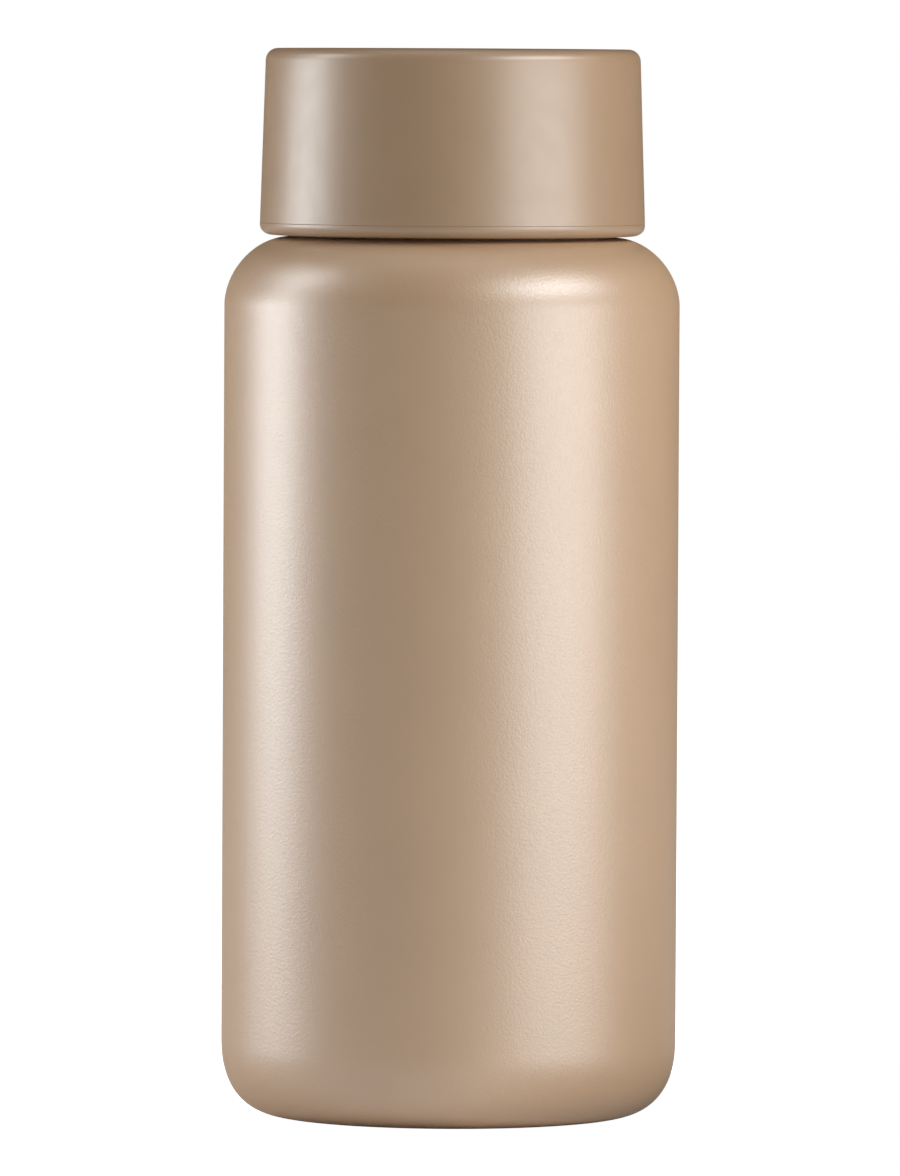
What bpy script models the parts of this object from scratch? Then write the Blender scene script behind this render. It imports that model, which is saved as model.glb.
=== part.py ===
"""Insulated water bottle with a screw cap, as separate pieces.

A double-wall steel flask with a vacuum gap and a two-start threaded neck, and a foam-filled cap with
a silicone gasket. Units are metres and +Z is up. The origin is the centre of the foot's rest plane,
and every turned piece has its origin on the bottle's axis, which is also the axis of both joints.
"""

import math

import bmesh
import bpy

MM = 0.001

# Driving dimensions of the flask. Heights are measured from the rest plane.
BODY_RADIUS = 37.5 * MM
SHEET = 0.6 * MM
FOOT_RADIUS = 26.5 * MM
FOOT_CORNER_HEIGHT = 12.8 * MM
FOOT_CORNER_EXPONENT = 2.36
SHOULDER_TOP = 144.9 * MM
SHOULDER_RADIUS = 27.1 * MM
SHOULDER_HEIGHT = 11.2 * MM
SHOULDER_EXPONENT = 1.85
NECK_RADIUS = 25.6 * MM
NECK_FILLET = 0.9 * MM
NECK_TOP = 159.0 * MM
LIP_TOP = 160.4 * MM
LIP_RADIUS = 25.7 * MM
FLANGE_RADIUS = 24.9 * MM
FLANGE_TOP = 3.0 * MM

# Inner wall of the flask.
LINER_RADIUS = 33.4 * MM
LINER_NECK_RADIUS = 24.1 * MM
LINER_SHOULDER_START = 131.4 * MM
LINER_SHOULDER_RADIUS = 25.0 * MM
LINER_SHOULDER_HEIGHT = 9.6 * MM
LINER_BASE_JOINT = 16.0 * MM
LINER_FLOOR = 7.0 * MM

# Cap. Its heights are measured from its lower edge, which sits CAP_SEAT above the rest plane.
CAP_SEAT = 145.2 * MM
CAP_HEIGHT = 30.7 * MM
CAP_LOWER_RADIUS = 31.71 * MM
CAP_UPPER_RADIUS = 30.81 * MM
CAP_WALL = 1.6 * MM
CAP_ROOF = 1.8 * MM
CAP_SEAM = 1.9 * MM
CAP_SEAM_GAP = 0.1 * MM
SKIRT_OUTER_RADIUS = 29.3 * MM
SKIRT_INNER_RADIUS = 27.3 * MM
WEB_UNDERSIDE = 17.9 * MM
WEB_TOP = 19.5 * MM
PLUG_RADIUS = 22.6 * MM
PLUG_WALL = 1.4 * MM
PLUG_UNDERSIDE = 6.7 * MM
PLUG_FLOOR = 8.2 * MM
GASKET_UNDERSIDE = 15.5 * MM
GASKET_THICKNESS = 2.1 * MM
GASKET_INNER_RADIUS = 22.9 * MM
GASKET_OUTER_RADIUS = 26.2 * MM

# Thread: right-hand, two starts. The cap's ridges ride under the neck's ridges.
THREAD_STARTS = 2
THREAD_LEAD = 8.0 * MM
NECK_THREAD_CREST = 26.9 * MM
NECK_THREAD_START = 149.0 * MM
NECK_THREAD_FACETS = 51
CAP_THREAD_CREST = 26.1 * MM
CAP_THREAD_START = NECK_THREAD_START - CAP_SEAT - 1.56 * MM
CAP_THREAD_FACETS = 36
RIDGE_ROOT_HALF_WIDTH = 1.05 * MM
RIDGE_CREST_HALF_WIDTH = 0.45 * MM
RIDGE_BURY = 0.3 * MM
RUN_OUT_FACETS = 5

GAP = 0.3 * MM
FACETS = 48
SMALL_FACETS = 20
WELD_DISTANCE = 0.001 * MM
SHARP_ANGLE = math.radians(35)


def collection(name):
    """Make a collection in the scene."""
    made = bpy.data.collections.new(name)
    bpy.context.scene.collection.children.link(made)
    return made


def material(name, colour, roughness, metallic):
    """Make a plain Principled BSDF material."""
    made = bpy.data.materials.new(name)
    made.use_nodes = True
    shader = made.node_tree.nodes["Principled BSDF"]
    shader.inputs["Base Color"].default_value = (*colour, 1.0)
    shader.inputs["Roughness"].default_value = roughness
    shader.inputs["Metallic"].default_value = metallic
    return made


def arc(centre, radii, start, end, steps, exponent=2.0):
    """Points of a superellipse from one angle to another, in degrees; 0 points outward, 90 up."""
    points = []
    for step in range(steps + 1):
        angle = math.radians(start + (end - start) * step / steps)
        across = math.copysign(abs(math.cos(angle)) ** (2 / exponent), math.cos(angle))
        up = math.copysign(abs(math.sin(angle)) ** (2 / exponent), math.sin(angle))
        points.append((centre[0] + radii[0] * across, centre[1] + radii[1] * up))
    return points


def inner_face(path, thickness):
    """Offset a path by the sheet's thickness, to the side away from its outer face."""
    normals = []
    for (r0, z0), (r1, z1) in zip(path, path[1:]):
        length = math.hypot(r1 - r0, z1 - z0)
        normals.append((-(z1 - z0) / length, (r1 - r0) / length))
    points = []
    for index, (r, z) in enumerate(path):
        before = normals[max(index - 1, 0)]
        after = normals[min(index, len(normals) - 1)]
        mitre = thickness / (1 + before[0] * after[0] + before[1] * after[1])
        points.append((r - (before[0] + after[0]) * mitre, z - (before[1] + after[1]) * mitre))
    return points


def sheet(path, thickness=SHEET):
    """Closed outline of bent sheet whose outer face follows the path."""
    return path + inner_face(path, thickness)[::-1]


def link(name, mesh, paint, target, parent=None, seat=0.0):
    """Add an object on the bottle's axis, seated at a height, under its joint's empty if it moves."""
    piece = bpy.data.objects.new(name, mesh)
    target.objects.link(piece)
    piece.parent = parent
    piece.location = (0.0, 0.0, seat)
    if paint:
        mesh.materials.append(paint)
    return piece


def shade(mesh):
    """Smooth the round faces and keep the edges crisp."""
    mesh.shade_smooth()
    mesh.set_sharp_from_angle(angle=SHARP_ANGLE)


def turned(name, outline, paint, target, parent=None, seat=0.0, facets=FACETS, ridges=None):
    """Turn an outline round the axis, and join thread ridges to it if there are any.

    The outline runs down its outer side. One that starts and ends on the axis is left open, and any
    other is closed.
    """
    on_axis = outline[0][0] == 0.0
    edges = [(index, index + 1) for index in range(len(outline) - 1)]
    if not on_axis:
        edges.append((len(outline) - 1, 0))
    mesh = bpy.data.meshes.new(name)
    mesh.from_pydata([(r, 0.0, z) for r, z in outline], edges, [])
    piece = link(name, mesh, None, target, parent, seat)
    screw = piece.modifiers.new("Turn", "SCREW")
    screw.axis = "Z"
    screw.steps = facets
    screw.render_steps = facets
    screw.use_merge_vertices = True
    screw.merge_threshold = WELD_DISTANCE
    if ridges:
        join = piece.modifiers.new("Thread", "BOOLEAN")
        join.operation = "UNION"
        join.object = ridges
    bpy.context.view_layer.update()
    evaluated = piece.evaluated_get(bpy.context.evaluated_depsgraph_get())
    solid = bpy.data.meshes.new_from_object(evaluated)
    piece.modifiers.clear()
    piece.data = solid
    solid.materials.clear()
    solid.materials.append(paint)
    shade(solid)
    return piece


def ridge_ring(bm, angle, height, root, crest, rise):
    """One cross-section of a thread ridge; rise is how much of the full height it has reached."""
    tip = root + (crest - root) * rise
    section = (
        (root, height - RIDGE_ROOT_HALF_WIDTH),
        (tip, height - RIDGE_CREST_HALF_WIDTH),
        (tip, height + RIDGE_CREST_HALF_WIDTH),
        (root, height + RIDGE_ROOT_HALF_WIDTH),
    )
    return [bm.verts.new((r * math.cos(angle), r * math.sin(angle), z)) for r, z in section]


def thread(name, target, parent, seat, root, crest, start, facets):
    """Helical ridges that run out into the wall at both ends, one for each start of the thread."""
    step = math.tau / FACETS
    bm = bmesh.new()
    for lead_in in range(THREAD_STARTS):
        offset = math.tau * lead_in / THREAD_STARTS
        rings = []
        for facet in range(facets + 1):
            angle = offset + (facet + 0.5) * step
            height = start + THREAD_LEAD * facet / FACETS
            rise = min(1.0, (0.5 + min(facet, facets - facet)) / (0.5 + RUN_OUT_FACETS))
            rings.append(ridge_ring(bm, angle, height, root, crest, rise))
        for low, high in zip(rings, rings[1:]):
            for corner in range(4):
                following = (corner + 1) % 4
                bm.faces.new((low[corner], low[following], high[following], high[corner]))
        bm.faces.new(rings[0])
        bm.faces.new(rings[-1])
    bmesh.ops.recalc_face_normals(bm, faces=bm.faces)
    mesh = bpy.data.meshes.new(name)
    bm.to_mesh(mesh)
    bm.free()
    ridges = link(name, mesh, None, target, parent, seat)
    ridges.hide_render = True
    ridges.display_type = "WIRE"
    return ridges


def outer_shell(parts, tools, paint):
    """Coated outer wall: threaded neck, shoulder, side, base corner and the foot's turned-up flange."""
    ridges = thread("neck_thread_ridges", tools, None, 0.0, NECK_RADIUS - RIDGE_BURY,
                    NECK_THREAD_CREST, NECK_THREAD_START, NECK_THREAD_FACETS)
    fillet_centre = (NECK_RADIUS + NECK_FILLET, SHOULDER_TOP + NECK_FILLET)
    shoulder_centre = (SHOULDER_RADIUS, SHOULDER_TOP - SHOULDER_HEIGHT)
    shoulder_radii = (BODY_RADIUS - SHOULDER_RADIUS, SHOULDER_HEIGHT)
    foot_centre = (FOOT_RADIUS, FOOT_CORNER_HEIGHT)
    foot_radii = (BODY_RADIUS - FOOT_RADIUS, FOOT_CORNER_HEIGHT)
    flange_bend = SHEET
    path = [(NECK_RADIUS, NECK_TOP)]
    path += arc(fillet_centre, (NECK_FILLET, NECK_FILLET), 180, 270, 2)
    path += arc(shoulder_centre, shoulder_radii, 90, 0, 6, SHOULDER_EXPONENT)
    path += arc(foot_centre, foot_radii, 0, -90, 6, FOOT_CORNER_EXPONENT)
    path += [
        (FLANGE_RADIUS + flange_bend, 0.0),
        (FLANGE_RADIUS, flange_bend),
        (FLANGE_RADIUS, FLANGE_TOP),
    ]
    turned("outer_shell", sheet(path), paint, parts, ridges=ridges)


def inner_liner(parts, paint):
    """Inner wall, from the rolled lip that covers the shell's edge down to its joint with the base."""
    lip_round = 0.5 * MM
    neck_bend = 0.9 * MM
    shoulder_centre = (LINER_SHOULDER_RADIUS, LINER_SHOULDER_START)
    shoulder_radii = (LINER_RADIUS - LINER_SHOULDER_RADIUS, LINER_SHOULDER_HEIGHT)
    path = [
        (LINER_NECK_RADIUS, NECK_TOP + GAP),
        (LINER_NECK_RADIUS, LINER_SHOULDER_START + LINER_SHOULDER_HEIGHT + neck_bend),
    ]
    path += arc(shoulder_centre, shoulder_radii, 90, 0, 5, SHOULDER_EXPONENT)
    path.append((LINER_RADIUS, LINER_BASE_JOINT))
    mouth = LINER_NECK_RADIUS - SHEET
    lip = [
        (mouth, LIP_TOP - lip_round),
        (mouth + lip_round, LIP_TOP),
        (LIP_RADIUS - lip_round, LIP_TOP),
        (LIP_RADIUS, LIP_TOP - lip_round),
        (LIP_RADIUS, NECK_TOP + GAP),
    ]
    wall = path + inner_face(path, SHEET)[:0:-1]
    turned("inner_liner", wall + lip, paint, parts)


def liner_base(parts, paint):
    """Dished floor of the cavity, welded on under the inner wall."""
    corner = 9.0 * MM
    crown = 1.2 * MM
    joint = LINER_BASE_JOINT - 0.1 * MM
    path = arc((LINER_RADIUS - corner, joint), (corner, joint - LINER_FLOOR), 0, -90, 5)
    path.append((0.0, LINER_FLOOR + crown))
    top = inner_face(path, SHEET)
    top[-1] = (0.0, LINER_FLOOR + crown + SHEET)
    turned("liner_base", top[::-1] + path, paint, parts)


def copper_foil(parts, paint):
    """Copper sleeve round the inner wall, inside the vacuum gap."""
    inner = LINER_RADIUS + GAP
    outer = inner + 0.2 * MM
    low = 20.0 * MM
    high = 126.0 * MM
    turned("copper_foil", [(outer, high), (outer, low), (inner, low), (inner, high)], paint, parts)


def outer_base(parts, paint):
    """Pressed disc that closes the vacuum gap, with a central dimple and its evacuation hole."""
    rim = FLANGE_RADIUS - GAP
    floor = 2.4 * MM
    dimple_roof = 4.4 * MM
    path = [
        (rim, 4.0 * MM),
        (rim, floor + SHEET),
        (rim - SHEET, floor),
        (7.0 * MM, floor),
        (5.0 * MM, dimple_roof),
        (1.0 * MM, dimple_roof),
    ]
    turned("outer_base", sheet(path), paint, parts)


def seal_bead(parts, paint):
    """Bead of solder glass that plugs the evacuation hole from below."""
    outline = [
        (0.0, 4.7 * MM),
        (0.65 * MM, 4.7 * MM),
        (0.65 * MM, 4.1 * MM),
        (1.6 * MM, 4.0 * MM),
        (2.2 * MM, 3.5 * MM),
        (1.6 * MM, 2.9 * MM),
        (0.0, 2.8 * MM),
    ]
    turned("seal_bead", outline, paint, parts, facets=SMALL_FACETS)


def getter(parts, paint, distance, base):
    """Gas-absorbing pellet that lies on the outer base, inside the vacuum gap."""
    radius = 4.0 * MM
    height = 1.2 * MM
    chamfer = 0.2 * MM
    outline = [
        (0.0, height),
        (radius - chamfer, height),
        (radius, height - chamfer),
        (radius, 0.0),
        (0.0, 0.0),
    ]
    piece = turned("getter", outline, paint, parts, facets=SMALL_FACETS)
    piece.location = (distance, 0.0, base)


def getter_strap(parts, paint, distance, base):
    """Steel strip bent over the pellet and spot-welded to the outer base on both sides of it."""
    width = 5.0 * MM
    strip = 0.3 * MM
    bridge = 1.5 * MM
    half_bridge = 4.6 * MM
    half_span = 8.0 * MM
    stations = [
        (-half_span, 0.0),
        (-half_bridge, 0.0),
        (-half_bridge, bridge),
        (half_bridge, bridge),
        (half_bridge, 0.0),
        (half_span, 0.0),
    ]
    bm = bmesh.new()
    near = [bm.verts.new((-width / 2, y, z)) for y, z in stations]
    far = [bm.verts.new((width / 2, y, z)) for y, z in stations]
    for index in range(len(stations) - 1):
        bm.faces.new((near[index], far[index], far[index + 1], near[index + 1]))
    mesh = bpy.data.meshes.new("getter_strap")
    bm.to_mesh(mesh)
    bm.free()
    piece = link("getter_strap", mesh, paint, parts)
    piece.location = (distance, 0.0, base)
    thicken = piece.modifiers.new("Strip", "SOLIDIFY")
    thicken.thickness = strip
    thicken.offset = 1.0
    thicken.use_even_offset = True


def base_cover(parts, paint):
    """Brushed steel disc set just inside the foot, over the sealed hole."""
    rim = FLANGE_RADIUS - GAP
    low = 0.9 * MM
    middle = low + SHEET / 2
    high = low + SHEET
    outline = [(0.0, high), (rim - GAP, high), (rim, middle), (rim - GAP, low), (0.0, low)]
    turned("base_cover", outline, paint, parts)


def cap_shell(parts, parent, paint):
    """Smooth tapered outer cover of the cap."""
    edge_round = 2.0 * MM
    inner_round = 0.6 * MM
    low = CAP_SEAM + CAP_SEAM_GAP
    roof = CAP_HEIGHT - CAP_ROOF
    top_centre = (CAP_UPPER_RADIUS - edge_round, CAP_HEIGHT - edge_round)
    inner_top = CAP_UPPER_RADIUS - CAP_WALL
    outline = [(0.0, CAP_HEIGHT)]
    outline += arc(top_centre, (edge_round, edge_round), 90, 0, 4)
    outline += [
        (CAP_LOWER_RADIUS, low),
        (CAP_LOWER_RADIUS - CAP_WALL, low),
        (inner_top, roof - inner_round),
        (inner_top - inner_round, roof),
        (0.0, roof),
    ]
    turned("cap_shell", outline, paint, parts, parent)


def cap_core(parts, tools, parent, paint):
    """Threaded inside of the cap: lower ring, skirt, web and the hollow plug that fills the mouth."""
    ridges = thread("cap_thread_ridges", tools, parent, 0.0, SKIRT_INNER_RADIUS + RIDGE_BURY,
                    CAP_THREAD_CREST, CAP_THREAD_START, CAP_THREAD_FACETS)
    ring_round = 2.4 * MM
    ring_centre = (CAP_LOWER_RADIUS - ring_round, CAP_SEAM)
    underside_relief = 0.55 * MM
    bead_height = 14.5 * MM
    bead_half = 0.6 * MM
    bead_radius = PLUG_RADIUS + 0.5 * MM
    plug_inner = PLUG_RADIUS - PLUG_WALL
    plug_chamfer = 1.0 * MM
    outline = [
        (0.0, PLUG_FLOOR),
        (plug_inner, PLUG_FLOOR),
        (plug_inner, WEB_TOP),
        (SKIRT_OUTER_RADIUS, WEB_TOP),
        (SKIRT_OUTER_RADIUS, CAP_SEAM),
    ]
    outline += arc(ring_centre, (ring_round, CAP_SEAM), 0, -90, 4)
    outline += [
        (ring_centre[0] - 0.4 * MM, 0.0),
        (SKIRT_INNER_RADIUS, underside_relief),
        (SKIRT_INNER_RADIUS, WEB_UNDERSIDE),
        (PLUG_RADIUS, WEB_UNDERSIDE),
        (PLUG_RADIUS, bead_height + bead_half),
        (bead_radius, bead_height),
        (PLUG_RADIUS, bead_height - bead_half),
        (PLUG_RADIUS, PLUG_UNDERSIDE + plug_chamfer),
        (PLUG_RADIUS - plug_chamfer, PLUG_UNDERSIDE),
        (0.0, PLUG_UNDERSIDE),
    ]
    turned("cap_core", outline, paint, parts, parent, ridges=ridges)


def cap_foam(parts, parent, paint):
    """Insulating foam that fills the plug and the space under the cap's roof."""
    plug_fill = PLUG_RADIUS - PLUG_WALL - GAP
    cap_fill = SKIRT_OUTER_RADIUS - 0.9 * MM
    outline = [
        (0.0, CAP_HEIGHT - CAP_ROOF - GAP),
        (cap_fill, CAP_HEIGHT - CAP_ROOF - GAP),
        (cap_fill, WEB_TOP + GAP),
        (plug_fill, WEB_TOP + GAP),
        (plug_fill, PLUG_FLOOR + GAP),
        (0.0, PLUG_FLOOR + GAP),
    ]
    turned("cap_foam", outline, paint, parts, parent)


def cap_gasket(parts, parent, paint):
    """Silicone ring that seals the cap on the lip; it rises with the cap and doesn't turn."""
    edge = 0.4 * MM
    low = GASKET_UNDERSIDE
    high = low + GASKET_THICKNESS
    outline = [
        (GASKET_OUTER_RADIUS, high),
        (GASKET_OUTER_RADIUS, low + edge),
        (GASKET_OUTER_RADIUS - edge, low),
        (GASKET_INNER_RADIUS + edge, low),
        (GASKET_INNER_RADIUS, low + edge),
        (GASKET_INNER_RADIUS, high),
    ]
    turned("cap_gasket", outline, paint, parts, parent)


def joint_empty(name, target, parent, height):
    """An empty on the bottle's axis that stands for a joint."""
    empty = bpy.data.objects.new(name, None)
    target.objects.link(empty)
    empty.parent = parent
    empty.location = (0.0, 0.0, height)
    return empty


def build():
    """Clear the scene and model the bottle."""
    for old in list(bpy.data.objects):
        bpy.data.objects.remove(old, do_unlink=True)
    parts = collection("copper_water_bottle")
    tools = collection("thread_tools")

    coat = material("copper_tone_powder_coat", (0.47, 0.32, 0.20), 0.42, 0.0)
    steel = material("brushed_steel", (0.56, 0.56, 0.55), 0.34, 1.0)
    copper = material("copper_foil", (0.75, 0.36, 0.22), 0.25, 1.0)
    glass = material("solder_glass", (0.30, 0.33, 0.30), 0.25, 0.0)
    pellet = material("getter_alloy", (0.22, 0.21, 0.20), 0.60, 1.0)
    cap_paint = material("copper_tone_satin_plastic", (0.34, 0.23, 0.15), 0.38, 0.0)
    core_plastic = material("copper_tone_plain_plastic", (0.34, 0.23, 0.15), 0.45, 0.0)
    foam = material("insulation_foam", (0.80, 0.77, 0.66), 0.90, 0.0)
    silicone = material("silicone", (0.72, 0.70, 0.66), 0.55, 0.0)

    outer_shell(parts, tools, coat)
    inner_liner(parts, steel)
    liner_base(parts, steel)
    copper_foil(parts, copper)
    outer_base(parts, steel)
    seal_bead(parts, glass)
    getter_distance = 14.0 * MM
    getter_base = 3.3 * MM
    getter(parts, pellet, getter_distance, getter_base)
    getter_strap(parts, steel, getter_distance, getter_base)
    base_cover(parts, steel)

    rise = joint_empty("cap_rise_axis", parts, None, CAP_SEAT)
    turn = joint_empty("cap_turn_axis", parts, rise, 0.0)
    cap_gasket(parts, rise, silicone)
    cap_shell(parts, turn, cap_paint)
    cap_core(parts, tools, turn, core_plastic)
    cap_foam(parts, turn, foam)


build()
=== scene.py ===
"""The looks of the copper-tone water bottle: fine turned surfaces, coatings, light and camera."""

import math

import bpy
from mathutils import Matrix, Vector


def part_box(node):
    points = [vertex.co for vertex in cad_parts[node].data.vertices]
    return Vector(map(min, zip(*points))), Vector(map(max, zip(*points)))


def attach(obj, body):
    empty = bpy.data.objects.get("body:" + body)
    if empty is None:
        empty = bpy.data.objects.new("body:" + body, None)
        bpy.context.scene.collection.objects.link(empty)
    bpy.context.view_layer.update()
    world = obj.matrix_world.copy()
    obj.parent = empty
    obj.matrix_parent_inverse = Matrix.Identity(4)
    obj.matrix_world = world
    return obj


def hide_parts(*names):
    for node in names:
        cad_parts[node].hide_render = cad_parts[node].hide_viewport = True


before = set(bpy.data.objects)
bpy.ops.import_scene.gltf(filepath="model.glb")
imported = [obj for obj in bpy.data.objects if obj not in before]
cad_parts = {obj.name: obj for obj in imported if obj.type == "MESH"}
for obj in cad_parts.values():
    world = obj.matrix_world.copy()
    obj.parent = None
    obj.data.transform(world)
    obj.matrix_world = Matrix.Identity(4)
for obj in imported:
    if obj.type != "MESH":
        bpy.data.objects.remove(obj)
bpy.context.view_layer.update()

MM = 0.001

# Turned surfaces: facets round the axis, and the longest stretch between two rows of points, which
# is short on the walls with thread ridges. Edges sharper than SHARP_ANGLE stay crisp, and TINY is a
# distance too small to see.
FACETS = 192
SMALL_FACETS = 64
ROW = 4.0 * MM
FOIL_ROW = 8.0 * MM
THREAD_ROW = 0.08 * MM
SHARP_ANGLE = math.radians(32)
TINY = 0.01 * MM

# Each CAD node's box, which gives the outer sizes of the piece that replaces it.
SHELL_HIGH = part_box("outer_shell")[1]
LINER_LOW, LINER_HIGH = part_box("inner_liner")
FLOOR_LOW, FLOOR_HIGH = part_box("liner_base")
FOIL_LOW, FOIL_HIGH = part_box("copper_foil")
BASE_LOW, BASE_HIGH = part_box("outer_base")
BEAD_LOW, BEAD_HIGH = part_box("seal_bead")
GETTER_LOW, GETTER_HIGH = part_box("getter")
STRAP_LOW, STRAP_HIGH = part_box("getter_strap")
COVER_LOW, COVER_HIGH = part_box("base_cover")
CAP_LOW, CAP_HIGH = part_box("cap_shell")
CORE_LOW, CORE_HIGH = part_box("cap_core")
FOAM_LOW, FOAM_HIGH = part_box("cap_foam")
GASKET_LOW, GASKET_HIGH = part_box("cap_gasket")

# Sizes that no box gives. They repeat the CAD's, except that the cap's ring is 0.085 mm taller, to
# narrow the seam above it, and that edges are rounded more finely.
SHEET = 0.6 * MM
BODY_RADIUS = SHELL_HIGH.x
FOOT_RADIUS = 26.5 * MM
FOOT_CORNER_HEIGHT = 12.8 * MM
FOOT_CORNER_EXPONENT = 2.36
SHOULDER_TOP = 144.9 * MM
SHOULDER_RADIUS = 27.1 * MM
SHOULDER_HEIGHT = 11.2 * MM
SHOULDER_EXPONENT = 1.85
NECK_RADIUS = 25.6 * MM
NECK_FILLET = 0.9 * MM
FLANGE_RADIUS = 24.9 * MM
FLANGE_TOP = 3.0 * MM
LINER_NECK_RADIUS = 24.1 * MM
LINER_SHOULDER_RADIUS = 25.0 * MM
LINER_SHOULDER_START = 131.4 * MM
LINER_SHOULDER_HEIGHT = 9.6 * MM
LIP_RADIUS = 25.7 * MM
LIP_THICKNESS = 1.1 * MM
FOIL_THICKNESS = 0.2 * MM
CAP_UPPER_RADIUS = 30.81 * MM
CAP_WALL = 1.6 * MM
CAP_ROOF = 1.8 * MM
CAP_TOP_ROUND = 2.0 * MM
SKIRT_OUTER_RADIUS = 29.3 * MM
SKIRT_INNER_RADIUS = 27.3 * MM
WEB_THICKNESS = 1.6 * MM
CAP_RING = 1.985 * MM
CAP_RING_ROUND = 2.0 * MM
RING_BAND = 0.3 * MM
RING_FOOT = 0.4 * MM
SEAM_ROUND = 0.06 * MM
UNDERSIDE_RELIEF = 0.55 * MM
PLUG_RADIUS = 22.6 * MM
PLUG_WALL = 1.4 * MM
PLUG_UNDERSIDE = CORE_LOW.z + 6.7 * MM
PLUG_FLOOR = 1.5 * MM

# The two threads. Their ridges are 0.1 mm narrower than the CAD's, measured along the axis, and start
# and end with a run-out.
THREAD_STARTS = 2
THREAD_LEAD = 8.0 * MM
NECK_THREAD_DEPTH = 1.3 * MM
NECK_THREAD_START = 149.0 * MM
NECK_THREAD_TURNS = 51 / 48
CAP_THREAD_DEPTH = 1.2 * MM
CAP_THREAD_START = NECK_THREAD_START - 1.56 * MM
CAP_THREAD_TURNS = 36 / 48
RIDGE_ROOT_HALF_WIDTH = 1.0 * MM
RIDGE_CREST_HALF_WIDTH = 0.4 * MM
RUN_OUT_TURNS = 0.11


# ---------------------------------------------------------------- outlines

def arc(centre, radii, start, end, steps, exponent=2.0):
    """Points of a superellipse from one angle to another, in degrees; 0 points outward, 90 up."""
    points = []
    for step in range(steps + 1):
        angle = math.radians(start + (end - start) * step / steps)
        across = math.copysign(abs(math.cos(angle)) ** (2 / exponent), math.cos(angle))
        up = math.copysign(abs(math.sin(angle)) ** (2 / exponent), math.sin(angle))
        points.append((centre[0] + radii[0] * across, centre[1] + radii[1] * up))
    return points


def rounded(corners, steps=6):
    """An outline with its corners rounded. Each corner is (radius, height, rounding)."""
    points = []
    for index, (r, z, rounding) in enumerate(corners):
        here = Vector((r, z))
        if not rounding:
            points.append((r, z))
            continue
        before = Vector(corners[index - 1][:2]) - here
        after = Vector(corners[(index + 1) % len(corners)][:2]) - here
        half = before.angle(after) / 2
        setback = rounding / math.tan(half)
        bisector = (before.normalized() + after.normalized()).normalized()
        middle = here + bisector * rounding / math.sin(half)
        first = here + before.normalized() * setback - middle
        sweep = first.angle_signed(here + after.normalized() * setback - middle)
        for step in range(steps + 1):
            turned = first.copy()
            turned.rotate(Matrix.Rotation(-sweep * step / steps, 2))
            points.append(tuple(middle + turned))
    return points


def rows(path, longest=ROW):
    """Split a path's long stretches, so that shading stays even along straight walls."""
    points = [path[0]]
    for start, end in zip(path, path[1:]):
        parts = max(1, math.ceil(math.dist(start, end) / longest))
        for part in range(1, parts + 1):
            share = part / parts
            across = start[0] + (end[0] - start[0]) * share
            points.append((across, start[1] + (end[1] - start[1]) * share))
    return points


def inner_face(path, thickness=SHEET):
    """Offset a path by the sheet's thickness, to the side away from its outer face."""
    normals = []
    for (r0, z0), (r1, z1) in zip(path, path[1:]):
        length = math.hypot(r1 - r0, z1 - z0)
        normals.append((-(z1 - z0) / length, (r1 - r0) / length))
    points = []
    for index, (r, z) in enumerate(path):
        before = normals[max(index - 1, 0)]
        after = normals[min(index, len(normals) - 1)]
        mitre = thickness / (1 + before[0] * after[0] + before[1] * after[1])
        points.append((r - (before[0] + after[0]) * mitre, z - (before[1] + after[1]) * mitre))
    return points


# ---------------------------------------------------------------- turned pieces

def ridge_height(angle, height, start, turns):
    """How far a thread ridge stands at a point of the wall, from 0 to 1."""
    tallest = 0.0
    for lead_in in range(THREAD_STARTS):
        around = angle / math.tau - lead_in / THREAD_STARTS
        lap = round((height - start) / THREAD_LEAD - around)
        along = around + lap
        aside = abs(height - start - THREAD_LEAD * along)
        flank = RIDGE_ROOT_HALF_WIDTH - RIDGE_CREST_HALF_WIDTH
        section = smooth_step((RIDGE_ROOT_HALF_WIDTH - aside) / flank)
        run_out = smooth_step(along / RUN_OUT_TURNS) * smooth_step((turns - along) / RUN_OUT_TURNS)
        tallest = max(tallest, section * run_out)
    return tallest


def smooth_step(value):
    """0 below 0, 1 above 1, and a smooth rise between."""
    value = min(1.0, max(0.0, value))
    return value * value * (3 - 2 * value)


def lathe(name, outline, facets=FACETS, relief=None):
    """Turn an outline round the axis. One that starts and ends on the axis isn't closed up.

    relief(angle, radius, height) gives the radius of a point of the wall where it isn't round.
    """
    rings = []
    vertices = []
    for r, z in outline:
        if r == 0.0:
            rings.append([len(vertices)] * facets)
            vertices.append((0.0, 0.0, z))
            continue
        rings.append(list(range(len(vertices), len(vertices) + facets)))
        for facet in range(facets):
            angle = math.tau * facet / facets
            radius = relief(angle, r, z) if relief else r
            vertices.append((radius * math.cos(angle), radius * math.sin(angle), z))
    pairs = list(zip(rings, rings[1:]))
    if outline[0][0] > 0.0:
        pairs.append((rings[-1], rings[0]))
    faces = []
    for upper, lower in pairs:
        for facet in range(facets):
            following = (facet + 1) % facets
            corners = [upper[facet], lower[facet], lower[following], upper[following]]
            faces.append(list(dict.fromkeys(corners)))
    mesh = bpy.data.meshes.new(name)
    mesh.from_pydata(vertices, [], faces)
    mesh.validate()
    return finish_piece(name, mesh)


def finish_piece(name, mesh):
    """Shade a mesh smooth between its crisp edges and put it in the scene."""
    mesh.shade_smooth()
    mesh.set_sharp_from_angle(angle=SHARP_ANGLE)
    piece = bpy.data.objects.new(name, mesh)
    bpy.context.scene.collection.objects.link(piece)
    return piece


def mount(piece, body, node, slot, *paints):
    """Place a piece on its body, in the place of its CAD node, with its materials."""
    for paint in paints:
        piece.data.materials.append(paint)
    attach(piece, body)
    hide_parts(node)


# ---------------------------------------------------------------- materials

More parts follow.
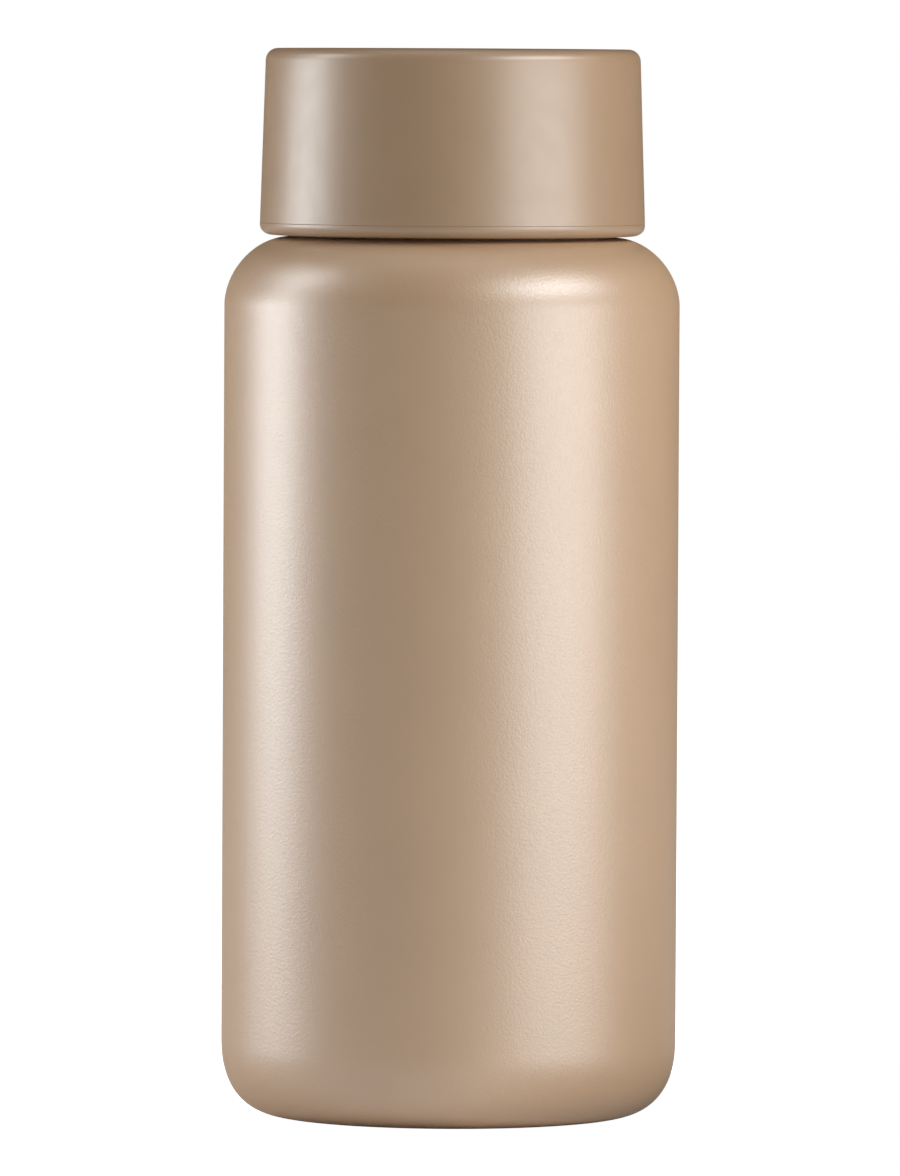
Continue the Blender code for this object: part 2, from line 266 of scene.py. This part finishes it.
class Paint:
    """A node material, built one node at a time."""

    def __init__(self, name, **constants):
        self.material = bpy.data.materials.new(name)
        self.material.use_nodes = True
        self.nodes = self.material.node_tree.nodes
        self.links = self.material.node_tree.links
        self.shader = self.nodes["Principled BSDF"]
        for socket, value in constants.items():
            self.shader.inputs[socket.replace("_", " ")].default_value = value
        coordinates = self.nodes.new("ShaderNodeTexCoord")
        self.place = coordinates.outputs["Object"]

    def plug(self, source, node, socket):
        """Give a socket a number, a colour or another node's output."""
        if isinstance(source, bpy.types.NodeSocket):
            self.links.new(source, node.inputs[socket])
        else:
            node.inputs[socket].default_value = source

    def math(self, operation, first, second=0.0):
        """A Math node's output."""
        node = self.nodes.new("ShaderNodeMath")
        node.operation = operation
        self.plug(first, node, 0)
        self.plug(second, node, 1)
        return node.outputs[0]

    def noise(self, size, detail=2.0, roughness=0.5, vector=None):
        """Noise whose lumps are about the given size, in metres."""
        node = self.nodes.new("ShaderNodeTexNoise")
        node.inputs["Scale"].default_value = 1.0 / size
        node.inputs["Detail"].default_value = detail
        node.inputs["Roughness"].default_value = roughness
        self.plug(vector or self.place, node, "Vector")
        return node.outputs["Fac"]

    def spread(self, source, low, high, start=0.0, end=1.0):
        """Stretch a value from one range to another."""
        node = self.nodes.new("ShaderNodeMapRange")
        limits = {"From Min": start, "From Max": end, "To Min": low, "To Max": high}
        for socket, value in limits.items():
            node.inputs[socket].default_value = value
        self.plug(source, node, "Value")
        return node.outputs["Result"]

    def vary(self, noise, low, high):
        """Stretch the middle of a noise's range, where most of its values lie."""
        return self.spread(noise, low, high, 0.3, 0.7)

    def mix(self, factor, first, second):
        """A colour between two colours."""
        node = self.nodes.new("ShaderNodeMix")
        node.data_type = "RGBA"
        self.plug(factor, node, "Factor")
        self.plug((*first, 1.0) if isinstance(first, tuple) else first, node, 6)
        self.plug((*second, 1.0) if isinstance(second, tuple) else second, node, 7)
        return node.outputs[2]

    def bump(self, height, distance, strength=1.0, below=None):
        """Relief of the given depth, in metres, on top of any coarser relief."""
        node = self.nodes.new("ShaderNodeBump")
        node.inputs["Distance"].default_value = distance
        node.inputs["Strength"].default_value = strength
        self.plug(height, node, "Height")
        if below:
            self.plug(below, node, "Normal")
        return node.outputs["Normal"]

    def turned_place(self, across, along, around):
        """Coordinates that follow a turned surface: radius, height and angle, each with its scale."""
        apart = self.nodes.new("ShaderNodeSeparateXYZ")
        self.plug(self.place, apart, 0)
        x, y, z = apart.outputs
        squares = self.math("ADD", self.math("MULTIPLY", x, x), self.math("MULTIPLY", y, y))
        radius = self.math("SQRT", squares)
        angle = self.math("ARCTAN2", y, x)
        together = self.nodes.new("ShaderNodeCombineXYZ")
        self.plug(self.math("MULTIPLY", radius, across), together, 0)
        self.plug(self.math("MULTIPLY", z, along), together, 1)
        self.plug(self.math("MULTIPLY", angle, around), together, 2)
        return together.outputs[0]

    def wear(self, colour=None, roughness=None, normal=None):
        """Connect the patterns to the shader."""
        for source, socket in ((colour, "Base Color"), (roughness, "Roughness"), (normal, "Normal")):
            if source:
                self.plug(source, self.shader, socket)
        return self.material


# Linear colours. Each pair is the darker and the lighter tone that a material varies between.
COAT_TONES = ((0.560, 0.354, 0.204), (0.580, 0.367, 0.212))
CAP_TONES = ((0.420, 0.265, 0.152), (0.435, 0.275, 0.158))
NECK_STEEL_TONE = (0.60, 0.59, 0.57)
COVER_STEEL_TONE = (0.58, 0.57, 0.55)
LINER_STEEL_TONES = ((0.54, 0.53, 0.51), (0.63, 0.62, 0.60))
SILICONE_TONES = ((0.66, 0.64, 0.60), (0.74, 0.72, 0.68))
# The foam's darker tone is painted shade, for the hollow middles of its cells.
FOAM_TONES = ((0.62, 0.57, 0.42), (0.80, 0.77, 0.64))
FOIL_TONES = ((0.70, 0.30, 0.17), (0.86, 0.46, 0.31))
ALLOY_TONES = ((0.14, 0.13, 0.12), (0.34, 0.32, 0.30))
GLASS_TONES = ((0.20, 0.23, 0.20), (0.40, 0.43, 0.38))


def powder_coat():
    """Satin powder coat with fine orange peel, in a champagne copper tone."""
    paint = Paint("powder_coat", IOR=1.8, Specular_IOR_Level=1.0)
    cloud = paint.noise(14 * MM, detail=3.0)
    grain = paint.noise(0.32 * MM, detail=1.0)
    peel = paint.noise(0.45 * MM, detail=1.0)
    colour = paint.mix(paint.vary(cloud, 0.0, 1.0), *COAT_TONES)
    roughness = paint.vary(grain, 0.39, 0.45)
    coarse = paint.bump(peel, 0.022 * MM)
    fine = paint.bump(grain, 0.02 * MM, 1.0, coarse)
    return paint.wear(colour, roughness, fine)


def cap_coat():
    """Smooth satin finish of the cap, a darker shade of the same tone."""
    paint = Paint("cap_satin", IOR=1.8, Specular_IOR_Level=0.68)
    cloud = paint.noise(11 * MM, detail=3.0)
    grain = paint.noise(0.35 * MM, detail=1.0)
    colour = paint.mix(paint.vary(cloud, 0.0, 1.0), *CAP_TONES)
    roughness = paint.vary(paint.noise(3 * MM, detail=4.0), 0.39, 0.44)
    return paint.wear(colour, roughness, paint.bump(grain, 0.003 * MM, 0.6))


def brushed_steel(name, tone, low, high, depth=0.004 * MM):
    """Steel with fine lines that run round the axis; low and high are its range of roughness."""
    paint = Paint(name, Metallic=1.0)
    place = paint.turned_place(1.0, 1.0, 0.0006)
    lines = paint.noise(0.12 * MM, detail=3.0, roughness=0.65, vector=place)
    cloud = paint.noise(9 * MM, detail=2.0)
    dark = tuple(0.88 * part for part in tone)
    colour = paint.mix(paint.vary(lines, 0.0, 1.0), dark, tone)
    marks = paint.math("ADD", lines, paint.math("MULTIPLY", cloud, 0.4))
    roughness = paint.spread(marks, low, high, 0.5, 0.95)
    return paint.wear(colour, roughness, paint.bump(lines, depth, 0.7))


def polished_steel():
    """Electropolished inner wall with a faint drawn grain."""
    paint = Paint("polished_steel", Metallic=1.0)
    place = paint.turned_place(1.0, 0.04, 0.003)
    lines = paint.noise(0.25 * MM, detail=3.0, roughness=0.6, vector=place)
    speckle = paint.noise(0.6 * MM, detail=2.0)
    colour = paint.mix(speckle, *LINER_STEEL_TONES)
    roughness = paint.vary(lines, 0.20, 0.32)
    return paint.wear(colour, roughness, paint.bump(speckle, 0.004 * MM, 0.5))


def silicone():
    """Translucent off-white silicone rubber with a moulded skin."""
    paint = Paint("silicone_rubber", Specular_IOR_Level=0.35, Subsurface_Weight=0.15)
    paint.shader.inputs["Subsurface Radius"].default_value = (1.5 * MM, 1.2 * MM, 1.0 * MM)
    dust = paint.noise(2.5 * MM, detail=4.0)
    colour = paint.mix(dust, *SILICONE_TONES)
    roughness = paint.vary(dust, 0.48, 0.62)
    return paint.wear(colour, roughness, paint.bump(paint.noise(0.3 * MM), 0.005 * MM, 0.6))


def foam():
    """Cream polyurethane foam with open cells, with painted shade in the cells' hollows."""
    paint = Paint("insulation_foam", Specular_IOR_Level=0.2)
    cells = paint.nodes.new("ShaderNodeTexVoronoi")
    cells.inputs["Scale"].default_value = 1 / (0.8 * MM)
    paint.plug(paint.place, cells, "Vector")
    centre_distance = cells.outputs["Distance"]
    # Painted shade: the colour is darker towards each cell's middle, where the bump makes a hollow.
    colour = paint.mix(centre_distance, *FOAM_TONES)
    roughness = paint.spread(centre_distance, 0.95, 0.80)
    return paint.wear(colour, roughness, paint.bump(centre_distance, 0.25 * MM, 0.8))


def crinkled_copper():
    """Bright copper foil with soft creases."""
    paint = Paint("copper_foil_metal", Metallic=1.0)
    creases = paint.noise(5 * MM, detail=4.0, roughness=0.6)
    tarnish = paint.noise(12 * MM, detail=3.0)
    colour = paint.mix(tarnish, *FOIL_TONES)
    roughness = paint.vary(tarnish, 0.16, 0.32)
    return paint.wear(colour, roughness, paint.bump(creases, 0.2 * MM, 0.5))


def getter_alloy():
    """Dark sintered metal."""
    paint = Paint("sintered_alloy", Metallic=1.0)
    grains = paint.noise(0.15 * MM, detail=3.0, roughness=0.7)
    colour = paint.mix(grains, *ALLOY_TONES)
    return paint.wear(colour, paint.spread(grains, 0.5, 0.75), paint.bump(grains, 0.02 * MM, 0.8))


def solder_glass():
    """Grey-green glass solder, slightly rippled from melting."""
    paint = Paint("solder_glass_bead", Specular_IOR_Level=0.6)
    flow = paint.noise(1.2 * MM, detail=2.0)
    colour = paint.mix(flow, *GLASS_TONES)
    return paint.wear(colour, paint.spread(flow, 0.12, 0.25), paint.bump(flow, 0.05 * MM, 0.5))


# ---------------------------------------------------------------- bottle

def neck_relief(angle, radius, height):
    """The neck's outer wall with its thread ridges; other walls stay round."""
    if abs(radius - NECK_RADIUS) > TINY:
        return radius
    ridge = ridge_height(angle, height, NECK_THREAD_START, NECK_THREAD_TURNS)
    return radius + NECK_THREAD_DEPTH * ridge


def shell_path(neck_row):
    """The outer shell's outer face, from the neck's top to the foot's turned-up flange.

    neck_row is the longest stretch between two rows of points on the neck.
    """
    fillet_centre = (NECK_RADIUS + NECK_FILLET, SHOULDER_TOP + NECK_FILLET)
    shoulder_centre = (SHOULDER_RADIUS, SHOULDER_TOP - SHOULDER_HEIGHT)
    shoulder_radii = (BODY_RADIUS - SHOULDER_RADIUS, SHOULDER_HEIGHT)
    foot_centre = (FOOT_RADIUS, FOOT_CORNER_HEIGHT)
    foot_radii = (BODY_RADIUS - FOOT_RADIUS, FOOT_CORNER_HEIGHT)
    bend_centre = (FLANGE_RADIUS + SHEET, SHEET)
    fillet = arc(fillet_centre, (NECK_FILLET, NECK_FILLET), 180, 270, 8)
    path = rows([(NECK_RADIUS, SHELL_HIGH.z), fillet[0]], neck_row)[:-1]
    path += fillet
    wall = arc(shoulder_centre, shoulder_radii, 90, 0, 28, SHOULDER_EXPONENT)
    wall += arc(foot_centre, foot_radii, 0, -90, 28, FOOT_CORNER_EXPONENT)
    path += rows(wall)
    path += arc(bend_centre, (SHEET, SHEET), 270, 180, 6)
    path.append((FLANGE_RADIUS, FLANGE_TOP))
    return path


def outer_shell(coat, steel):
    """Coated outside, with a bare steel neck and a bare inner face."""
    outside = shell_path(THREAD_ROW)
    inside = inner_face(shell_path(ROW))[::-1]
    piece = lathe("bottle_shell", outside + inside, relief=neck_relief)
    coat_edge = SHOULDER_TOP + NECK_FILLET / 2
    first_inside = (len(outside) - 1) * FACETS
    for face in piece.data.polygons:
        top = max(piece.data.vertices[corner].co.z for corner in face.vertices)
        bare = top > coat_edge or min(face.vertices) >= first_inside
        face.material_index = 1 if bare else 0
    mount(piece, "bottle", "outer_shell", "body_coat", coat, steel)


def inner_liner(steel):
    """Drawn inner wall with its rolled lip."""
    shoulder_centre = (LINER_SHOULDER_RADIUS, LINER_SHOULDER_START)
    shoulder_radii = (LINER_HIGH.x - LINER_SHOULDER_RADIUS, LINER_SHOULDER_HEIGHT)
    bend = LINER_SHOULDER_RADIUS - LINER_NECK_RADIUS
    bend_centre = (LINER_SHOULDER_RADIUS, LINER_SHOULDER_START + LINER_SHOULDER_HEIGHT + bend)
    path = [(LINER_NECK_RADIUS, LINER_HIGH.z - LIP_THICKNESS)]
    path += arc(bend_centre, (bend, bend), 180, 270, 6)
    path += arc(shoulder_centre, shoulder_radii, 90, 0, 24, SHOULDER_EXPONENT)[1:]
    path.append((LINER_HIGH.x, LINER_LOW.z))
    path = rows(path)
    mouth = LINER_NECK_RADIUS - SHEET
    bead = LIP_THICKNESS / 2
    bead_height = LINER_HIGH.z - bead
    lip = arc((mouth + bead, bead_height), (bead, bead), 180, 90, 10)
    lip += arc((LIP_RADIUS - bead, bead_height), (bead, bead), 90, -60, 12)
    wall = path + inner_face(path)[:0:-1]
    mount(lathe("bottle_liner", wall + lip), "bottle", "inner_liner", "bare_steel", steel)


def liner_base(steel):
    """Dished floor of the cavity."""
    corner = 9.0 * MM
    crown = 1.2 * MM
    crown_rows = 12
    radii = (corner, FLOOR_HIGH.z - FLOOR_LOW.z)
    path = arc((FLOOR_HIGH.x - corner, FLOOR_HIGH.z), radii, 0, -90, 24)
    rim = path[-1]
    for step in range(1, crown_rows + 1):
        share = step / crown_rows
        path.append((rim[0] * (1 - share), rim[1] + crown * smooth_step(share)))
    top = inner_face(path)
    top[0] = (path[0][0] - SHEET, path[0][1])
    top[-1] = (0.0, path[-1][1] + SHEET)
    path[-1] = (0.0, path[-1][1])
    mount(lathe("liner_floor", top[::-1] + path), "bottle", "liner_base", "bare_steel", steel)


def copper_foil(foil):
    """Foil sleeve in the vacuum gap."""
    inner = FOIL_HIGH.x - FOIL_THICKNESS
    outline = rows([(FOIL_HIGH.x, FOIL_HIGH.z), (FOIL_HIGH.x, FOIL_LOW.z)], FOIL_ROW)
    outline += rows([(inner, FOIL_LOW.z), (inner, FOIL_HIGH.z)], FOIL_ROW)
    mount(lathe("vacuum_foil", outline), "bottle", "copper_foil", "foil_copper", foil)


def outer_base(steel):
    """Pressed base disc with its dimple and evacuation hole."""
    rim = BASE_HIGH.x
    rim_top = 4.0 * MM
    low = BASE_LOW.z
    roof = BASE_HIGH.z - SHEET
    bend = SHEET
    ease = 0.1 * MM
    dimple_rim = 7.6 * MM
    dimple_wall = [(7.0 * MM, low + ease), (5.2 * MM, roof - ease), (4.6 * MM, roof)]
    hole = 1.0 * MM
    path = [(rim, rim_top)]
    path += arc((rim - bend, low + bend), (bend, bend), 0, -90, 6)
    path += rows([(rim - bend - TINY, low), (dimple_rim, low)])
    path += [*dimple_wall, (hole, roof)]
    outline = path + inner_face(path)[::-1]
    mount(lathe("pressed_base", outline), "bottle", "outer_base", "bare_steel", steel)


def seal_bead(glass):
    """Melted bead in the dimple, with its stub in the hole."""
    stub = 0.65 * MM
    stub_height = 0.6 * MM
    centre = (BEAD_LOW.z + BEAD_HIGH.z - stub_height) / 2
    outline = [(0.0, BEAD_HIGH.z), (stub, BEAD_HIGH.z)]
    outline += arc((0.0, centre), (BEAD_HIGH.x, centre - BEAD_LOW.z), 72, -90, 16)[:-1]
    outline.append((0.0, BEAD_LOW.z))
    mount(lathe("glass_bead", outline, SMALL_FACETS), "bottle", "seal_bead", "solder_glass", glass)


def getter(alloy):
    """Sintered pellet on the vacuum side of the base."""
    radius = (GETTER_HIGH.x - GETTER_LOW.x) / 2
    height = GETTER_HIGH.z - GETTER_LOW.z
    edge = 0.25 * MM
    outline = rounded([(0.0, height, 0), (radius, height, edge), (radius, 0.0, edge), (0.0, 0.0, 0)])
    piece = lathe("getter_pellet", outline, SMALL_FACETS)
    piece.location = ((GETTER_LOW.x + GETTER_HIGH.x) / 2, 0.0, GETTER_LOW.z)
    mount(piece, "bottle", "getter", "getter_alloy", alloy)


def getter_strap(steel):
    """Bent strip over the pellet, with softened edges."""
    strip = 0.3 * MM
    half_bridge = 4.6 * MM
    bend = 0.15 * MM
    softening = 0.04 * MM
    low = STRAP_LOW.z
    bridge = STRAP_HIGH.z - strip
    stations = [
        (STRAP_LOW.y, low),
        (-half_bridge - bend, low),
        (-half_bridge, low + bend),
        (-half_bridge, bridge - bend),
        (bend - half_bridge, bridge),
        (half_bridge - bend, bridge),
        (half_bridge, bridge - bend),
        (half_bridge, low + bend),
        (half_bridge + bend, low),
        (STRAP_HIGH.y, low),
    ]
    vertices = [(x, y, z) for y, z in stations for x in (STRAP_LOW.x, STRAP_HIGH.x)]
    starts = range(0, 2 * len(stations) - 2, 2)
    faces = [(start, start + 1, start + 3, start + 2) for start in starts]
    mesh = bpy.data.meshes.new("welded_strap")
    mesh.from_pydata(vertices, [], faces)
    piece = finish_piece("welded_strap", mesh)
    thicken = piece.modifiers.new("Strip", "SOLIDIFY")
    thicken.thickness = strip
    thicken.offset = 1.0
    thicken.use_even_offset = True
    soften = piece.modifiers.new("Edges", "BEVEL")
    soften.width = softening
    soften.segments = 2
    mount(piece, "bottle", "getter_strap", "bare_steel", steel)


def base_cover(steel):
    """Brushed disc set in the foot, with a pressed ring."""
    rim = COVER_HIGH.x
    low = COVER_LOW.z
    high = COVER_HIGH.z
    edge = (high - low) / 2
    edge_land = 0.5 * MM
    hub = 1.0 * MM
    ring = 16.0 * MM
    groove_reach = 1.2 * MM
    groove = (1.0 * MM, 0.18 * MM)
    top = [(0.0, high)] + rows([(hub, high), (rim - edge, high)])
    outline = top + arc((rim - edge, low + edge), (edge, edge), 84, -90, 10)
    outline += rows([(rim - edge - edge_land, low), (ring + groove_reach, low)])
    outline += arc((ring, low), groove, 0, 180, 12)
    outline += rows([(ring - groove_reach, low), (hub, low)]) + [(0.0, low)]
    mount(lathe("base_disc", outline), "bottle", "base_cover", "bare_steel", steel)


# ---------------------------------------------------------------- cap

def cap_shell(coat):
    """Smooth tapered cover, with a rounded top edge and a crisp softened lower edge."""
    low = CAP_LOW.z
    high = CAP_HIGH.z
    roof = high - CAP_ROOF
    outline = rounded([
        (0.0, high, 0),
        (CAP_UPPER_RADIUS, high, CAP_TOP_ROUND),
        (CAP_HIGH.x, low, SEAM_ROUND),
        (CAP_HIGH.x - CAP_WALL, low, 0.1 * MM),
        (CAP_UPPER_RADIUS - CAP_WALL, roof, 0.6 * MM),
        (0.0, roof, 0),
    ], 10)
    mount(lathe("cap_cover", rows(outline)), "cap", "cap_shell", "cap_plastic", coat)


def skirt_relief(angle, radius, height):
    """The skirt's inner wall with its thread ridges; other walls stay round."""
    if abs(radius - SKIRT_INNER_RADIUS) > TINY:
        return radius
    ridge = ridge_height(angle, height, CAP_THREAD_START, CAP_THREAD_TURNS)
    return radius - CAP_THREAD_DEPTH * ridge


def cap_core(plastic):
    """Lower ring, threaded skirt, web, and the hollow plug with its gasket bead and gate mark."""
    low = CORE_LOW.z
    web_top = CORE_HIGH.z
    web_low = web_top - WEB_THICKNESS
    ring_top = low + CAP_RING
    ring_side = ring_top - RING_BAND
    plug_inner = PLUG_RADIUS - PLUG_WALL
    plug_low = PLUG_UNDERSIDE
    bead = low + 14.5 * MM
    bead_half_height = 0.6 * MM
    web_corner = 0.3 * MM
    gate_depth = 0.15 * MM
    gate_floor = plug_low + gate_depth
    gate_nub = plug_low + 0.3 * gate_depth
    upper = rounded([
        (0.0, plug_low + PLUG_FLOOR, 0),
        (plug_inner, plug_low + PLUG_FLOOR, 0.8 * MM),
        (plug_inner, web_top, 0.3 * MM),
        (SKIRT_OUTER_RADIUS, web_top, 0.3 * MM),
        (SKIRT_OUTER_RADIUS, ring_top, 0),
        (CORE_HIGH.x, ring_top, SEAM_ROUND),
        (CORE_HIGH.x, ring_side, 0),
    ])[:-1]
    ring_centre = (CORE_HIGH.x - CAP_RING_ROUND, ring_side)
    lower_ring = arc(ring_centre, (CAP_RING_ROUND, ring_side - low), 0, -90, 20)
    lower_ring.append((ring_centre[0] - RING_FOOT, low))
    skirt_low = low + UNDERSIDE_RELIEF
    skirt_ends = [(SKIRT_INNER_RADIUS, skirt_low), (SKIRT_INNER_RADIUS, web_low - web_corner)]
    skirt = rows(skirt_ends, THREAD_ROW)
    plug = rounded([
        (SKIRT_INNER_RADIUS - web_corner, web_low, 0),
        (PLUG_RADIUS, web_low, 0.2 * MM),
        (PLUG_RADIUS, bead + bead_half_height, 0.1 * MM),
        (PLUG_RADIUS + 0.5 * MM, bead, 0.25 * MM),
        (PLUG_RADIUS, bead - bead_half_height, 0.1 * MM),
        (PLUG_RADIUS, plug_low, 1.2 * MM),
        (3.2 * MM, plug_low, 0.1 * MM),
        (3.0 * MM, gate_floor, 0.05 * MM),
        (1.0 * MM, gate_floor, 0.05 * MM),
        (0.8 * MM, gate_nub, 0.05 * MM),
        (0.0, gate_nub, 0),
    ])
    outline = upper + lower_ring + skirt + plug
    piece = lathe("cap_inner", outline, relief=skirt_relief)
    mount(piece, "cap", "cap_core", "core_plastic", plastic)


def cap_foam(filling):
    """Foam that fills the plug and the cap."""
    clearance = 0.3 * MM
    plug_fill = PLUG_RADIUS - PLUG_WALL - clearance
    step = CORE_HIGH.z + clearance
    edge = 0.4 * MM
    outline = rounded([
        (0.0, FOAM_HIGH.z, 0),
        (FOAM_HIGH.x, FOAM_HIGH.z, edge),
        (FOAM_HIGH.x, step, edge),
        (plug_fill, step, edge),
        (plug_fill, FOAM_LOW.z, edge),
        (0.0, FOAM_LOW.z, 0),
    ])
    mount(lathe("cap_insulation", outline), "cap", "cap_foam", "foam", filling)


def cap_gasket(rubber):
    """Moulded ring with two sealing ribs on its underside."""
    low = GASKET_LOW.z
    high = GASKET_HIGH.z
    outer = GASKET_HIGH.x
    inner = 22.9 * MM
    rib = 0.35 * MM
    rib_inset = 0.95 * MM
    land = low + rib
    edge = 0.3 * MM
    outline = arc((outer - edge, high - edge), (edge, edge), 90, 0, 5)
    outline += arc((outer - edge, land + edge), (edge, edge), 0, -90, 5)
    for middle in (outer - rib_inset, inner + rib_inset):
        outline += arc((middle, land), (rib, rib), 0, -180, 8)
    outline += arc((inner + edge, land + edge), (edge, edge), -90, -180, 5)
    outline += arc((inner + edge, high - edge), (edge, edge), 180, 90, 5)
    mount(lathe("sealing_ring", outline), "gasket", "cap_gasket", "silicone", rubber)


# ---------------------------------------------------------------- stage

WHITE = (1.0, 1.0, 1.0, 1.0)
COOL_WHITE = (0.978, 1.01, 1.035)
MATT = 0.9
DISC_FACETS = 96
FLOOR_RADIUS = 6.0
FLOOR_DROP = 0.05 * MM
FLOOR_GREYS = ((0.87,) * 3, (0.89,) * 3)
CARD_RADIUS = 0.115
CARD_MIDDLE_RADIUS = 0.075
CARD_DROP = 0.02 * MM
CARD_GREYS = ((0.20,) * 3, (0.88,) * 3)
LAMP_DISTANCE = 1.1

# Lens and sensor in millimetres, and the rest in metres and radians.
LENS_MM = 391.0
SENSOR_MM = 36.0
EYE = (-0.0001, -2.104, 0.1826)
EYE_TILT = math.radians(90 - 2.6)
EYE_ROLL = math.radians(0.29)
SIGHT_LIMIT = 30.0


def seen_directly(nodes):
    """1 for what the camera sees directly, 0 for light on its way by another surface."""
    return nodes.new("ShaderNodeLightPath").outputs["Is Camera Ray"]


def disc(name, radius, centre, material):
    """Flat round sheet of the stage."""
    bpy.ops.mesh.primitive_circle_add(
        vertices=DISC_FACETS, radius=radius, fill_type="NGON", location=centre
    )
    sheet = bpy.context.object
    sheet.name = name
    sheet.data.materials.append(material)
    return sheet


def stage_floor():
    """Wide pale floor that glows white for the camera, like a light table."""
    paint = Paint("floor_paint", Roughness=MATT, Specular_IOR_Level=0.0, Emission_Color=WHITE)
    paint.plug(seen_directly(paint.nodes), paint.shader, "Emission Strength")
    material = paint.wear(paint.mix(paint.noise(0.4, detail=2.0), *FLOOR_GREYS))
    disc("studio_floor", FLOOR_RADIUS, (0, 0, -FLOOR_DROP), material)


def dark_card():
    """Card on the floor at the bottle's right that dims the foot there, out of the camera's sight.

    It is grey in the middle and fades to the floor's own tone at its rim.
    """
    paint = Paint("card_paint", Roughness=MATT, Specular_IOR_Level=0.0)
    reach = paint.nodes.new("ShaderNodeVectorMath")
    reach.operation = "LENGTH"
    paint.plug(paint.place, reach, 0)
    fade = paint.spread(reach.outputs["Value"], 0.0, 1.0, CARD_MIDDLE_RADIUS, CARD_RADIUS)
    material = paint.wear(paint.mix(fade, *CARD_GREYS))
    card = disc("shade_card", CARD_RADIUS, (CARD_RADIUS, 0, -CARD_DROP), material)
    card.visible_camera = False


def softbox(name, azimuth, height, size, power, aim_height, distance=LAMP_DISTANCE):
    """Rectangular soft light of the given width and height, aimed at a point of the bottle's axis.

    Azimuth 0 is on the camera's side and 90 to its right. Lengths are in metres, power in watts.
    """
    light = bpy.data.lights.new(name, "AREA")
    light.shape = "RECTANGLE"
    light.size, light.size_y = size
    light.energy = power
    light.color = COOL_WHITE
    lamp = bpy.data.objects.new(name, light)
    angle = math.radians(azimuth)
    lamp.location = (distance * math.sin(angle), -distance * math.cos(angle), height)
    aim = Vector((0, 0, aim_height)) - lamp.location
    lamp.rotation_euler = aim.to_track_quat("-Z", "Y").to_euler()
    lamp.visible_camera = False
    bpy.context.scene.collection.objects.link(lamp)


def studio_world():
    """White backdrop for the camera. The bottle is lit by the soft boxes alone."""
    world = bpy.data.worlds.new("studio_world")
    bpy.context.scene.world = world
    world.use_nodes = True
    nodes = world.node_tree.nodes
    background = nodes["Background"]
    background.inputs["Color"].default_value = WHITE
    world.node_tree.links.new(seen_directly(nodes), background.inputs["Strength"])


def camera():
    """A long lens a little above the bottle's top, tilted down to its middle."""
    data = bpy.data.cameras.new("camera")
    data.lens = LENS_MM
    data.sensor_width = SENSOR_MM
    data.clip_end = SIGHT_LIMIT
    eye = bpy.data.objects.new("camera", data)
    eye.location = EYE
    tilt = Matrix.Rotation(EYE_TILT, 4, "X")
    roll = Matrix.Rotation(EYE_ROLL, 4, "Z")
    eye.rotation_euler = (tilt @ roll).to_euler()
    bpy.context.scene.collection.objects.link(eye)
    bpy.context.scene.camera = eye


def main():
    """Build the pieces, the stage, the light and the camera."""
    coat = powder_coat()
    cap_paint = cap_coat()
    neck_steel = brushed_steel("neck_steel", NECK_STEEL_TONE, 0.24, 0.36)
    cover_steel = brushed_steel("cover_steel", COVER_STEEL_TONE, 0.26, 0.40, 0.006 * MM)
    liner_steel = polished_steel()
    outer_shell(coat, neck_steel)
    inner_liner(liner_steel)
    liner_base(liner_steel)
    copper_foil(crinkled_copper())
    outer_base(cover_steel)
    seal_bead(solder_glass())
    getter(getter_alloy())
    getter_strap(cover_steel)
    base_cover(cover_steel)
    cap_shell(cap_paint)
    cap_core(cap_paint)
    cap_foam(foam())
    cap_gasket(silicone())

    stage_floor()
    dark_card()
    studio_world()
    softbox("high_right_softbox", 58, 0.95, (1.04, 0.6), 15.4, 0.95)
    softbox("low_right_softbox", 56, 0.125, (0.96, 0.25), 4.7, 0.125)
    softbox("high_left_softbox", -93, 0.95, (0.34, 0.6), 4.3, 0.95)
    softbox("middle_left_softbox", -93, 0.45, (0.34, 0.4), 2.0, 0.45)
    softbox("low_left_softbox", -98, 0.125, (0.60, 0.25), 3.8, 0.125)
    softbox("rear_left_softbox", -108, 0.95, (0.34, 0.6), 1.3, 0.95)
    softbox("top_softbox", 0, 1.4, (1.0, 1.0), 1.7, 0.09, distance=0.01)
    camera()
    bpy.context.scene.view_settings.view_transform = "Standard"


main()
